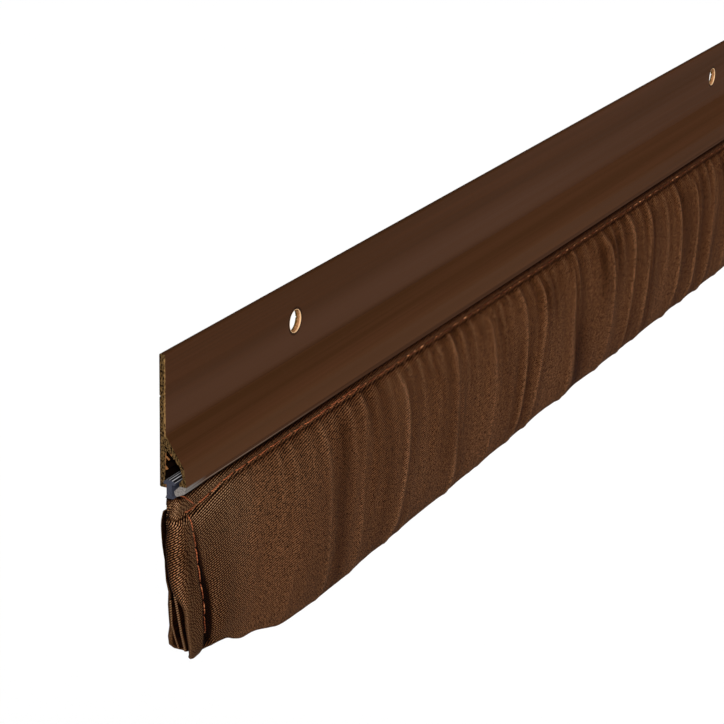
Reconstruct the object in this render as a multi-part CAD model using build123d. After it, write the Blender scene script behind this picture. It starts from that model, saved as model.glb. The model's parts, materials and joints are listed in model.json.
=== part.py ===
from build123d import *
import math
import os

# Door bottom seal: an extruded carrier that is screwed to a door's face, with a gathered fabric
# sleeve hanging from a keder strip in the channel along the carrier's lower edge.
# Millimetres. +X runs along the seal, the front faces -Y, and +Z is up.
# The origin is in the carrier's back face, on the row of screw holes, at the middle of the length.

# Overall
length = 1000.0
clearance = 0.12

# Screw holes, in one row
hole_count = 4
hole_diameter = 5.5
hole_end_distance = 59.0
hole_down = 9.7

# Carrier section. A depth is measured forward from the back face, a drop down from the top edge.
plate_thickness = 1.5
plate_corner_radius = 0.3
plate_drop = 18.5
groove_width = 0.7
groove_depth = 0.25
slope_rise = 7.0
nose_depth = 6.1
nose_radius = 2.4
face_lean = 0.55
face_height = 4.3
nose_thickness = 0.95
front_wall_thickness = 0.9
wall_foot_thickness = 1.7
wall_foot_height = 0.9
back_wall_thickness = 1.2
back_wall_taper = 0.5
back_wall_drop = 30.7
apex_drop = 21.8

# Hook along the foot of the back wall, which carries the keder's head
hook_reach = 0.75
hook_thickness = 1.05
hook_radius = 0.4

# Teeth on the back wall, inside the channel: a thin fin above, a saw tooth below
fin_drop = 23.0
fin_thickness = 0.35
fin_reach = 1.4
fin_hang = 0.9
saw_drop = 25.2
saw_reach = 1.0
saw_height = 1.25

# Keder strip
keder_overhang = 0.7
head_width = 2.9
head_crown = 0.5
wing_thickness = 0.6
stem_thickness = 1.38
stem_flare = 0.3
flare_height = 0.7
flange_thickness = 1.0
flange_length = 4.4
flange_end_inset = 2.0

# Soft lip under the front wall
lip_thickness = 1.7
lip_dip = 0.95
lip_chamfer = 0.55
lip_tip = 1.3
lip_tip_radius = 0.35

# Fabric sleeve
sleeve_inset = 1.0
cloth_gap = 0.35
hem_cloth = 1.2
hem_height = 3.6
seam_pinch = 0.3
sleeve_drop = 49.2
bulge_front = 3.7
bulge_back = 3.2
widest_share = 0.42
end_thickness = 2.6
end_hem_width = 9.0
end_lift = 11.0
end_swell_length = 46.0

# Gathers of the sleeve
fold_pitch = 20.0
fold_depth = 0.8
fold_scallop = 0.6
fold_drift = 0.2
plain_length = 66.0
gather_length = 150.0

# Worked out from the sizes above
half_length = length / 2
hole_pitch = (length - 2 * hole_end_distance) / (hole_count - 1)
nose_drop = plate_drop + slope_rise
front_depth = nose_depth + face_lean
face_drop = nose_drop + face_height
hook_top_drop = back_wall_drop - hook_thickness
hook_tip_depth = back_wall_thickness + hook_reach
head_back_depth = back_wall_thickness + clearance
head_front_depth = head_back_depth + head_width
head_middle = (head_back_depth + head_front_depth) / 2
head_bottom_drop = hook_top_drop - clearance
wing_top_drop = head_bottom_drop - wing_thickness
stem_back_depth = hook_tip_depth + clearance
stem_front_depth = stem_back_depth + stem_thickness
stem_middle = (stem_back_depth + stem_front_depth) / 2
lip_inner_depth = stem_front_depth + clearance
lip_bottom_drop = face_drop + lip_thickness + lip_dip
hem_top_drop = lip_bottom_drop + cloth_gap
seam_drop = hem_top_drop + hem_height
hem_half = flange_thickness / 2 + hem_cloth
hem_front_depth = stem_middle + hem_half
hem_back_depth = stem_middle - hem_half
sleeve_end = half_length - sleeve_inset
flange_end = sleeve_end - flange_end_inset


def at(depth, drop):
    """A point of the section, as (Y, Z)."""
    return (-depth, hole_down - drop)


def section_face(corners, rounded=()):
    """The closed face through corners, with each (corner, radius) in rounded taken off."""
    with BuildSketch(Plane.YZ) as sketch:
        with BuildLine():
            Polyline([at(*corner) for corner in corners], close=True)
        make_face()
        for corner, radius in rounded:
            spot = Vector(*at(*corner))
            nearest = min(sketch.vertices(), key=lambda v: (v.center() - spot).length)
            fillet(nearest, radius)
    return sketch.sketch


def full_run(face, reach=half_length):
    """The section extruded to reach both ways from the middle of the length."""
    return extrude(face, amount=reach, both=True)


def carrier_outline():
    """The carrier's section: plate, sloping web, front wall, and back wall with its hook."""
    back_top = (0.0, 0.0)
    front_top = (plate_thickness, 0.0)
    crease = (plate_thickness, plate_drop)
    nose = (nose_depth, nose_drop)
    face_foot = (front_depth, face_drop)
    foot_inner = (front_depth - wall_foot_thickness, face_drop)
    foot_top = (front_depth - wall_foot_thickness, face_drop - wall_foot_height)
    wall_inner = (front_depth - front_wall_thickness, face_drop - 2 * wall_foot_height)
    nose_inner = (nose_depth - nose_thickness, nose_drop)
    apex = (back_wall_thickness + back_wall_taper, apex_drop)
    hook_root = (back_wall_thickness, hook_top_drop)
    hook_top = (hook_tip_depth, hook_top_drop)
    hook_bottom = (hook_tip_depth, back_wall_drop)
    back_foot = (0.0, back_wall_drop)
    return section_face(
        [
            back_top, front_top, crease, nose, face_foot, foot_inner, foot_top, wall_inner,
            nose_inner, apex, hook_root, hook_top, hook_bottom, back_foot,
        ],
        rounded=[
            (front_top, plate_corner_radius),
            (back_top, plate_corner_radius),
            (nose, nose_radius),
            (nose_inner, nose_radius - nose_thickness),
            (hook_top, hook_radius),
            (hook_bottom, hook_radius),
            (back_foot, hook_radius),
        ],
    )


def fin_tooth():
    """The upper tooth: a thin fin that hangs forward from the back wall."""
    root = back_wall_thickness - clearance
    tip = back_wall_thickness + fin_reach
    return section_face(
        [
            (root, fin_drop),
            (back_wall_thickness + fin_reach / 2, fin_drop + fin_thickness),
            (tip, fin_drop + fin_hang),
            (tip - fin_thickness, fin_drop + fin_hang + fin_thickness),
            (back_wall_thickness + fin_reach / 3, fin_drop + 2 * fin_thickness),
            (root, fin_drop + fin_thickness),
        ]
    )


def saw_tooth():
    """The lower tooth: a slope down to a sharp edge, square below."""
    root = back_wall_thickness - clearance
    return section_face(
        [
            (root, saw_drop - clearance),
            (back_wall_thickness + saw_reach, saw_drop + saw_height - fin_thickness),
            (back_wall_thickness + saw_reach - fin_thickness, saw_drop + saw_height),
            (root, saw_drop + saw_height),
        ]
    )


def drill_groove():
    """The V groove along the back face that guides a drill to the row of holes."""
    return section_face(
        [
            (-clearance, hole_down - groove_width / 2),
            (groove_depth, hole_down),
            (-clearance, hole_down + groove_width / 2),
        ]
    )


def carrier():
    """The extruded carrier with its screw holes."""
    outline = carrier_outline() + fin_tooth() + saw_tooth() - drill_groove()
    body = full_run(outline)
    first_hole = -half_length + hole_end_distance
    for index in range(hole_count):
        drill = Cylinder(hole_diameter / 2, 4 * plate_thickness, rotation=(90, 0, 0))
        body -= Pos(first_hole + index * hole_pitch, 0, 0) * drill
    return body


def soft_lip():
    """The soft lip bonded under the front wall, whose inner edge wipes the keder's stem."""
    outer_top = (front_depth, face_drop)
    outer_foot = (front_depth - lip_chamfer, face_drop + lip_thickness)
    inner_foot = (lip_inner_depth + lip_tip_radius, lip_bottom_drop)
    inner_top = (lip_inner_depth, lip_bottom_drop - lip_tip)
    bond_end = (front_depth - wall_foot_thickness, face_drop)
    return full_run(
        section_face(
            [outer_top, outer_foot, inner_foot, inner_top, bond_end],
            rounded=[
                (outer_foot, lip_tip_radius),
                (inner_foot, lip_tip_radius),
                (inner_top, lip_tip_radius),
            ],
        )
    )


def flange_outline(top_drop):
    """The section of the keder's flange, from top_drop to its foot inside the sleeve."""
    back = stem_middle - flange_thickness / 2
    front = stem_middle + flange_thickness / 2
    foot = hem_top_drop + flange_length
    return section_face([(back, top_drop), (front, top_drop), (front, foot), (back, foot)])


def keder_strip():
    """The keder: a mushroom head, a stem through the slot, and a flange sewn into the sleeve."""
    shoulder_drop = hem_top_drop
    flare_drop = shoulder_drop - flare_height
    with BuildSketch(Plane.YZ) as sketch:
        with BuildLine():
            ThreePointArc(
                at(head_back_depth, wing_top_drop),
                at(head_middle, wing_top_drop - head_crown),
                at(head_front_depth, wing_top_drop),
            )
            Polyline(
                at(head_front_depth, wing_top_drop),
                at(head_front_depth, head_bottom_drop),
                at(stem_front_depth, head_bottom_drop),
                at(stem_front_depth, flare_drop),
                at(stem_front_depth + stem_flare, shoulder_drop),
                at(stem_back_depth - stem_flare, shoulder_drop),
                at(stem_back_depth, flare_drop),
                at(stem_back_depth, head_bottom_drop),
                at(head_back_depth, head_bottom_drop),
                at(head_back_depth, wing_top_drop),
            )
        make_face()
    head_and_stem = full_run(sketch.sketch, half_length + keder_overhang)
    return head_and_stem + full_run(flange_outline(flare_drop), flange_end)


def share(distance, start, finish):
    """A smooth step from 0 at start to 1 at finish."""
    t = min(max((distance - start) / (finish - start), 0.0), 1.0)
    return t * t * (3 - 2 * t)


def sleeve_section(x, fold):
    """The sleeve's closed section at x, where fold is 1 on a crest and -1 in a valley."""
    from_end = sleeve_end - abs(x)
    swell = share(from_end, end_hem_width, end_hem_width + end_swell_length)
    gather = share(from_end, plain_length, plain_length + gather_length)
    push = fold * fold_depth * gather
    seam_front = (hem_front_depth - seam_pinch, seam_drop)
    seam_back = (hem_back_depth + seam_pinch, seam_drop)
    flat = end_thickness / 2
    widest_front = stem_middle + flat + swell * (hem_half - flat + bulge_front) + push
    widest_back = stem_middle - flat - swell * (hem_half - flat + bulge_back) - push
    lift = end_lift * max(1 - from_end / (end_hem_width + end_swell_length), 0.0) ** 2
    bottom_drop = hem_top_drop + sleeve_drop - lift + fold * fold_scallop * gather
    room = bottom_drop - seam_drop
    widest_drop = seam_drop + widest_share * room
    upper = 0.5 * (widest_drop - seam_drop)
    lower = 0.5 * (bottom_drop - widest_drop)
    round_front = 0.75 * (widest_front - stem_middle)
    round_back = 0.75 * (stem_middle - widest_back)
    with BuildLine(Plane.YZ) as line:
        Bezier(
            at(*seam_front),
            at(seam_front[0] + 0.6 * (widest_front - seam_front[0]), seam_drop + 0.3 * upper),
            at(widest_front, widest_drop - upper),
            at(widest_front, widest_drop),
        )
        Bezier(
            at(widest_front, widest_drop),
            at(widest_front, widest_drop + lower),
            at(stem_middle + round_front, bottom_drop),
            at(stem_middle, bottom_drop),
        )
        Bezier(
            at(stem_middle, bottom_drop),
            at(stem_middle - round_back, bottom_drop),
            at(widest_back, widest_drop + lower),
            at(widest_back, widest_drop),
        )
        Bezier(
            at(widest_back, widest_drop),
            at(widest_back, widest_drop - upper),
            at(seam_back[0] + 0.6 * (widest_back - seam_back[0]), seam_drop + 0.3 * upper),
            at(*seam_back),
        )
        Polyline(
            at(*seam_back),
            at(hem_back_depth, hem_top_drop),
            at(hem_front_depth, hem_top_drop),
            at(*seam_front),
        )
    return Wire((Pos(x, 0, 0) * line.line).edges())


def sleeve_spans():
    """Groups of stations (x, fold), each group one smooth stretch of the sleeve."""
    ends = [0.0, 0.5 * end_hem_width, end_hem_width]
    swells = [end_hem_width, 0.5 * (end_hem_width + plain_length), plain_length]
    first = [[(-sleeve_end + d, 0.0) for d in group] for group in (ends, swells)]
    last = [[(-x, fold) for x, fold in reversed(group)] for group in reversed(first)]
    span = 2 * (sleeve_end - plain_length)
    folds = round(span / fold_pitch)
    step = span / folds
    crests = [
        -span / 2 + step * (index + fold_drift * math.sin(2.4 * index) * (0 < index < folds))
        for index in range(folds + 1)
    ]
    middle = [
        [(left, 1.0), ((left + right) / 2, -1.0), (right, 1.0)]
        for left, right in zip(crests, crests[1:])
    ]
    return first + middle + last


def fabric_sleeve():
    """The gathered sleeve, lofted crest to crest, with a pocket in its hem for the flange."""
    spans = sleeve_spans()
    skin = [Face(sleeve_section(*spans[0][0])), Face(sleeve_section(*spans[-1][-1]))]
    for stations in spans:
        stretch = Solid.make_loft([sleeve_section(x, fold) for x, fold in stations])
        skin += stretch.faces().sort_by(Axis.X)[1:-1]
    pocket = full_run(flange_outline(hem_top_drop - cloth_gap), flange_end)
    return Solid(Shell(skin)) - pocket


parts = {
    "carrier_profile": carrier,
    "soft_lip": soft_lip,
    "keder_strip": keder_strip,
    "fabric_sleeve": fabric_sleeve,
}

os.makedirs("parts", exist_ok=True)
for name, make in parts.items():
    export_step(make(), f"parts/{name}.step")
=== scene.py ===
import json
import math
import random

import bpy
import numpy as np
from mathutils import Matrix, Vector


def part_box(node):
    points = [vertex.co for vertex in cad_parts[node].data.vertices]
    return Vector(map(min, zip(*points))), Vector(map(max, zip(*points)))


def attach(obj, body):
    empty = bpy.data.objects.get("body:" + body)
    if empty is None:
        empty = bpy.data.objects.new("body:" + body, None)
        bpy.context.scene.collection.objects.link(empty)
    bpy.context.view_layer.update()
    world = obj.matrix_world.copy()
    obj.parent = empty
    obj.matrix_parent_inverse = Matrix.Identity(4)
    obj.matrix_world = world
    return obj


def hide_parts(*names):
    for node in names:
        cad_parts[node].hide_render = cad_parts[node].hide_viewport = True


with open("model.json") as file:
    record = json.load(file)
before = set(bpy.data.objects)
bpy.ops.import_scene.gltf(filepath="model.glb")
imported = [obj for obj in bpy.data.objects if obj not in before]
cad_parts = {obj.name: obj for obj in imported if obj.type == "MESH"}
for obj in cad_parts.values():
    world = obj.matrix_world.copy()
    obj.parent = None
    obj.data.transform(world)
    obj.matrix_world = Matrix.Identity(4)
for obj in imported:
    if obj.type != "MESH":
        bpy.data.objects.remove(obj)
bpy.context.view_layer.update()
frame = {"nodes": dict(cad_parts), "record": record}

# The model is in metres. Sizes below are in millimetres unless they say otherwise, and are turned
# into metres where a mesh is made. A depth is measured forward (-Y) from the carrier's back face,
# and a drop downward from the carrier's top edge.
MM = 0.001

carrier_low, carrier_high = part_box("carrier_profile")
keder_low, keder_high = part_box("keder_strip")
_, sleeve_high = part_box("fabric_sleeve")

TOP = carrier_high.z / MM
CARRIER_FOOT = (carrier_high.z - carrier_low.z) / MM
HALF = carrier_high.x / MM
SLEEVE_HALF = sleeve_high.x / MM
STEM_MIDDLE = -(keder_low.y + keder_high.y) / 2 / MM
HEM_TOP_DROP = TOP - sleeve_high.z / MM

# Carrier: the plate's thickness, the drops of the slope below it, and how far the slope comes out
PLATE = 1.5
SLOPE_TOP = 18.5
SLOPE_FOOT = 25.5
SLOPE_REACH = 4.6

# Screw holes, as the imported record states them
mounts = {m["name"]: m for m in frame["record"]["mounts"]}
HOLE_RADIUS = mounts["screw_holes_inner"]["dims"]["hole_r_mm"]
HOLE_PITCH = mounts["screw_holes_inner"]["dims"]["spacing_x_mm"]
HOLE_FIRST = -mounts["screw_holes_outer"]["dims"]["spacing_x_mm"] / 2

# Sleeve: hem band, seam and bulge
HEM_HALF = 1.7
HEM_EDGE = 0.2
HEM_ROLL = 0.35
STITCH_DENT = 0.3
CUFF = 1.15
SEAM_PINCH = 0.45
SEAM_HANDLES = (0.6, 0.3)
FRONT_WIDEST = 8.2
BACK_WIDEST = -2.1
WIDEST_SHARE = 0.4
BELLY_SHARE = 0.78

# Sleeve's ends: depth of both layers, then the lengths that stay flat, swell, draw in and turn in
END_FRONT = 4.7
END_BACK = -0.95
END_FLAT = 9.0
END_SWELL = 46.0
END_REACH = 30.0
TURN_IN = 7.0

# Rows of the sleeve's section, from the hem's top down the front and up the back. The rolled top
# has its rows as (share of the hem's half width, drop below its top).
ROLL = [(0.45, 2.2), (0.5, 0.6), (0.62, 0.12), (0.85, 0.0)]
BAND_ROWS = 4
CUFF_ROWS = 3
LONG_ROWS = 16
SHORT_ROWS = 11
STITCH_ROW = len(ROLL) + BAND_ROWS
FRONT_COUNT = STITCH_ROW + CUFF_ROWS + 2 * LONG_ROWS
ROWS = FRONT_COUNT + 2 * SHORT_ROWS + 1 + CUFF_ROWS + STITCH_ROW
FRONT_ROWS = np.arange(ROWS) < FRONT_COUNT
ROLLED_ROWS = (np.arange(ROWS) < len(ROLL)) | (np.arange(ROWS) >= ROWS - len(ROLL))

# Columns along the sleeve: their spacing, how many turn in past each end, and, counted with those,
# the first one with a settled section and the one where the askew strip begins
FINE_STEP = 0.05
END_STEP = 0.5
CREST_SPACING = 0.6
VALLEY_SPACING = 2.0
TURN_COLUMNS = 9
INNER_COLUMNS = 4
HEAD = TURN_COLUMNS + INNER_COLUMNS
SETTLED = HEAD + int(END_REACH)
STRIP = HEAD + 6

# Stitches of the hem, and bottom edge of the sleeve: (distance from the sleeve's end, drop)
STITCH_LINE = [
    (0.0, 37.2), (7.5, 37.2), (9.5, 36.9), (13.5, 36.5), (19.0, 35.6), (29.0, 35.3), (40.0, 35.15),
    (60.0, 35.15),
]
BOTTOM_LINE = [
    (6.0, 74.3), (7.2, 75.0), (8.4, 75.7), (9.6, 75.4), (11.0, 75.0), (13.7, 75.3), (16.4, 75.8),
    (20.5, 76.4), (23.3, 77.0), (26.2, 78.4), (29.0, 79.5), (35.7, 80.4), (41.6, 82.1),
    (47.6, 83.8), (53.7, 84.3), (60.0, 84.6), (66.0, 84.7), (79.0, 84.7), (92.5, 84.2),
    (106.0, 83.8), (129.0, 83.5), (151.0, 83.2), (176.0, 82.7), (202.0, 82.1), (239.0, 81.9),
    (299.0, 81.6),
]

# The hemmed end, by drop: depth of the front and the back layer there
FRONT_AT_END = [(37.0, 4.2), (39.0, 4.65), (52.0, 4.75), (66.0, 4.7), (72.0, 4.3), (75.5, 3.4)]
BACK_AT_END = [
    (36.3, 0.4), (37.0, -0.4), (38.5, -0.75), (52.0, -0.75), (66.0, -0.95), (71.0, -0.95),
    (73.5, -0.6), (75.5, 1.0),
]
# Where those layers fold in, as distances in from the carrier's end, and how large the fold is
FRONT_FOLD = [
    (33.0, 0.1), (38.0, 0.0), (43.0, -0.05), (46.7, 0.3), (51.0, 0.9), (54.7, 1.1), (57.0, 1.7),
    (58.8, 2.6), (60.9, 3.2), (64.8, 3.6), (70.0, 4.9), (73.6, 6.2), (74.8, 7.1), (75.8, 8.3),
]
BACK_FOLD = [
    (33.0, 2.8), (37.8, 2.6), (40.5, 2.5), (43.5, 2.8), (46.6, 3.0), (49.8, 3.5), (54.3, 3.7),
    (57.8, 4.9), (62.1, 4.7), (66.8, 5.3), (71.2, 5.0), (72.3, 5.9), (73.7, 8.3), (75.3, 11.0),
]
FRONT_FOLD_RADIUS = [
    (33.0, 1.3), (37.5, 1.5), (40.5, 2.2), (55.0, 2.2), (57.0, 2.0), (58.8, 1.5), (60.9, 0.9),
    (64.8, 0.7), (70.0, 0.55), (76.0, 0.45),
]
BACK_FOLD_RADIUS = [(33.0, 0.2), (55.0, 0.2), (60.0, 0.4), (64.0, 0.6), (71.0, 0.6), (76.0, 0.4)]
# The end seam's distance in from the carrier's end, and the dip and the shade beside it, by drop
END_SEAM = [
    (37.0, 3.9), (40.5, 4.7), (43.0, 5.2), (46.6, 6.3), (50.9, 7.5), (56.1, 8.6), (61.7, 10.0),
    (67.5, 10.8), (71.4, 11.2), (74.0, 11.4),
]
SEAM_VALLEY = [(37.0, 0.3), (50.0, 0.7), (58.0, 1.3), (74.0, 1.9)]
SEAM_SHADE = [(37.0, 0.1), (46.0, 0.45), (56.0, 0.75), (61.0, 0.95), (74.0, 1.0)]
STRIP_RAISE = 0.35

# Turned-in edges of cloth inside the open end: crests as (inset, depth, drop), and fold radii
FRONT_EDGE = [(2.5, 1.9, 57.0), (4.0, 1.9, 62.6), (5.3, 1.9, 67.6), (7.0, 2.0, 73.2)]
FRONT_EDGE_RADIUS = 0.42
BACK_EDGE = [(2.8, 0.7, 59.0), (3.4, 0.7, 65.4), (5.0, 0.7, 69.6), (6.3, 0.8, 72.6)]
BACK_EDGE_RADIUS = 0.3
EDGE_REACH = 6.0
EDGE_POINTS = 24
EDGE_ARC_POINTS = 9

# Tuck that closes the hem's end: sections as (inset, scale), half sizes and place of its middle
TUCK_SECTIONS = [(3.2, 1.0), (1.8, 1.0), (1.1, 0.97), (0.7, 0.86), (0.4, 0.66), (0.25, 0.35)]
TUCK_HALF_DEPTH = 1.72
TUCK_HALF_DROP = 2.35
TUCK_DEPTH = STEM_MIDDLE - 0.05
TUCK_DROP = HEM_TOP_DROP + 2.45
TUCK_POINTS = 32

# Gathers: crests as (X, strength) along the stretch that the photograph shows
FIRST_CREST = -470.0
CRESTS = [
    (-452.0, 0.12), (-433.0, 0.3), (-414.0, 0.5), (-392.0, 0.6), (-358.0, 0.65), (-336.0, 0.6),
    (-315.0, 0.5), (-302.0, 0.85), (-276.0, 1.0), (-248.0, 1.0), (-229.0, 0.9), (-215.0, 0.7),
    (-189.0, 1.0), (-171.0, 1.0), (-154.0, 1.0),
]
CREST_STEP = (14.0, 27.0)
CREST_SHARE = 0.036
WIDEST_GAP = 30.0
RIDGE_HEIGHT = 0.42
RIDGE_WIDTH = 0.95
VALLEY_SHADE = 0.14
# Deeper valleys: (X, shade)
VALLEYS = [
    (-425.0, 0.28), (-402.0, 0.16), (-371.0, 0.12), (-326.0, 0.1), (-268.0, 0.1), (-239.0, 0.12),
    (-210.0, 0.2), (-180.0, 0.2), (-163.0, 0.15),
]
VALLEY_WIDTH = 3.6
MINOR_STEP = (8.0, 17.0)
MINOR_SHARE = 0.03
MINOR_RIDGE = 0.22
PUCKER_STEP = (5.0, 9.0)
PUCKER_SHARE = 0.1
PUCKER_RIDGE = 0.14
PUCKER_FALL = 11.0
FRONT_LEAN = 2.2
BACK_LEAN = -1.5
BOTTOM_SHARE = 0.5
END_SHEAR = 0.5
SHEAR_EASE = 2.5

# Irregularity of the folds: (wave along the sleeve, wave down it, number of sines, seed)
LEAN_RIPPLE = (60.0, 50.0, 4, 21)
SWAY_RIPPLE = (95.0, 85.0, 5, 33)
BEND_RIPPLE = (70.0, 60.0, 4, 57)
STRENGTH_RIPPLE = (34.0, 75.0, 5, 41)
MINOR_RIPPLE = (45.0, 70.0, 4, 63)
PUCKER_RIPPLE = (40.0, 50.0, 4, 71)
FALL_RIPPLE = (19.0, 50.0, 5, 77)
# The same for waves of the cloth itself, each with its height before it
SLACK = [(0.25, (46.0, 60.0, 5, 3)), (0.07, (13.0, 30.0, 6, 5))]
HEM_SLACK = (0.06, (7.0, 30.0, 5, 11))

# Painted shade is the share of the cloth's colour taken away where shade falls, below 0 it paints
# highlights, and it is kept within these bounds
SHADE_RANGE = (-0.6, 0.97)
INSIDE_SHADE = 0.95

# Stitching
THREAD_RADIUS = 0.16
END_THREAD_RADIUS = 0.14
THREAD_SIDES = 6
THREAD_TAPER = 0.55
NO_STITCH_WAY = (0.3, 1.0, 0.2)
STITCH_PITCH = 5.6
END_STITCH_PITCH = 4.7
STITCH_SHARE = 0.9
STITCH_LIFT = np.array([-0.25, 0.75, 1.0, 1.0, 1.0, 0.75, -0.25])
HEM_PROUD = 0.24
END_PROUD = 0.12
OVERLAP = (-440.0, -408.0)
END_STITCHES = (37.9, 73.5)
# Loose tail of the thread: (distance in from the near end, depth, drop)
THREAD_TAIL = [
    (1.4, 4.2, 32.6), (2.1, 4.95, 33.0), (3.3, 5.3, 34.0), (4.6, 5.4, 35.1), (5.8, 5.25, 36.0),
]

# Camera: the photograph's viewing angle, in metres and degrees
CAMERA_PLACE = Vector((-0.93129, -0.26237, 0.18862))
CAMERA_YAW = 26.382
CAMERA_PITCH = 19.673
CAMERA_ROLL = 1.295
PHOTO_FOCAL_PIXELS = 2497.026
PHOTO_PIXELS = 724.0
SENSOR_WIDTH = 36.0

# Floor in metres, sky and key light
FLOOR_Z = -2.5
FLOOR_HALF = 40.0
SKY = 0.2
KEY_STRENGTH = 1.66
KEY_FROM = Vector((-0.75, -0.45, 0.50))
KEY_SPREAD = 22.0

dice = random.Random(7)


def smooth_share(value, start, finish):
    """A smooth step from 0 at start to 1 at finish, either of which may be the larger."""
    t = np.clip((value - start) / (finish - start), 0.0, 1.0)
    return t * t * (3 - 2 * t)


def bell(value, middle, width):
    """1 at middle, falling to nothing a few widths away."""
    return np.exp(-(((value - middle) / width) ** 2))


def along(table, value):
    """The value of a table of (place, size) pairs at value, joined smoothly."""
    places, sizes = np.array(table).T
    value = np.clip(value, places[0], places[-1])
    slopes = np.gradient(sizes, places)
    i = np.clip(np.searchsorted(places, value, side="right") - 1, 0, len(places) - 2)
    gap = places[i + 1] - places[i]
    t = (value - places[i]) / gap
    return (
        (2 * t**3 - 3 * t**2 + 1) * sizes[i]
        + (t**3 - 2 * t**2 + t) * gap * slopes[i]
        + (3 * t**2 - 2 * t**3) * sizes[i + 1]
        + (t**3 - t**2) * gap * slopes[i + 1]
    )


def ripple(x, drop, wave_x, wave_drop, terms, seed):
    """Soft irregular undulation of about plus or minus 1, from a few crossed sines."""
    draw = np.random.default_rng(seed)
    total = np.zeros(np.broadcast(x, drop).shape)
    for _ in range(terms):
        length_x = wave_x * draw.uniform(0.7, 1.6)
        length_drop = wave_drop * draw.uniform(0.7, 1.6) * draw.choice([-1, 1])
        phase = draw.uniform(0, 2 * np.pi)
        total = total + np.sin(2 * np.pi * (x / length_x + drop / length_drop) + phase)
    return total / math.sqrt(terms)


# Camera and lights

def make_camera():
    data = bpy.data.cameras.new("photo_camera")
    data.sensor_width = SENSOR_WIDTH
    data.lens = PHOTO_FOCAL_PIXELS / PHOTO_PIXELS * SENSOR_WIDTH
    data.clip_start = 0.01
    data.clip_end = 100.0
    camera = bpy.data.objects.new("photo_camera", data)
    bpy.context.scene.collection.objects.link(camera)
    yaw, pitch, roll = np.radians((CAMERA_YAW, CAMERA_PITCH, CAMERA_ROLL)).tolist()
    ahead = Vector((
        math.cos(yaw) * math.cos(pitch), math.sin(yaw) * math.cos(pitch), -math.sin(pitch)
    ))
    level = Vector((math.sin(yaw), -math.cos(yaw), 0.0))
    upright = level.cross(ahead)
    right = math.cos(roll) * level + math.sin(roll) * upright
    up = math.cos(roll) * upright - math.sin(roll) * level
    turn = Matrix((right, up, -ahead)).transposed()
    camera.matrix_world = Matrix.Translation(CAMERA_PLACE) @ turn.to_4x4()
    bpy.context.scene.camera = camera


def make_lights():
    """An even pale sky, and one broad key light from the left, the front and above."""
    world = bpy.data.worlds.new("soft_sky")
    world.use_nodes = True
    world.node_tree.nodes["Background"].inputs["Color"].default_value = (1.0, 1.0, 1.0, 1.0)
    world.node_tree.nodes["Background"].inputs["Strength"].default_value = SKY
    bpy.context.scene.world = world
    data = bpy.data.lights.new("key", "SUN")
    data.energy = KEY_STRENGTH * math.pi
    data.angle = math.radians(KEY_SPREAD)
    key = bpy.data.objects.new("key", data)
    bpy.context.scene.collection.objects.link(key)
    key.rotation_mode = "QUATERNION"
    key.rotation_quaternion = KEY_FROM.to_track_quat("Z", "Y")


# Node helpers

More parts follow.
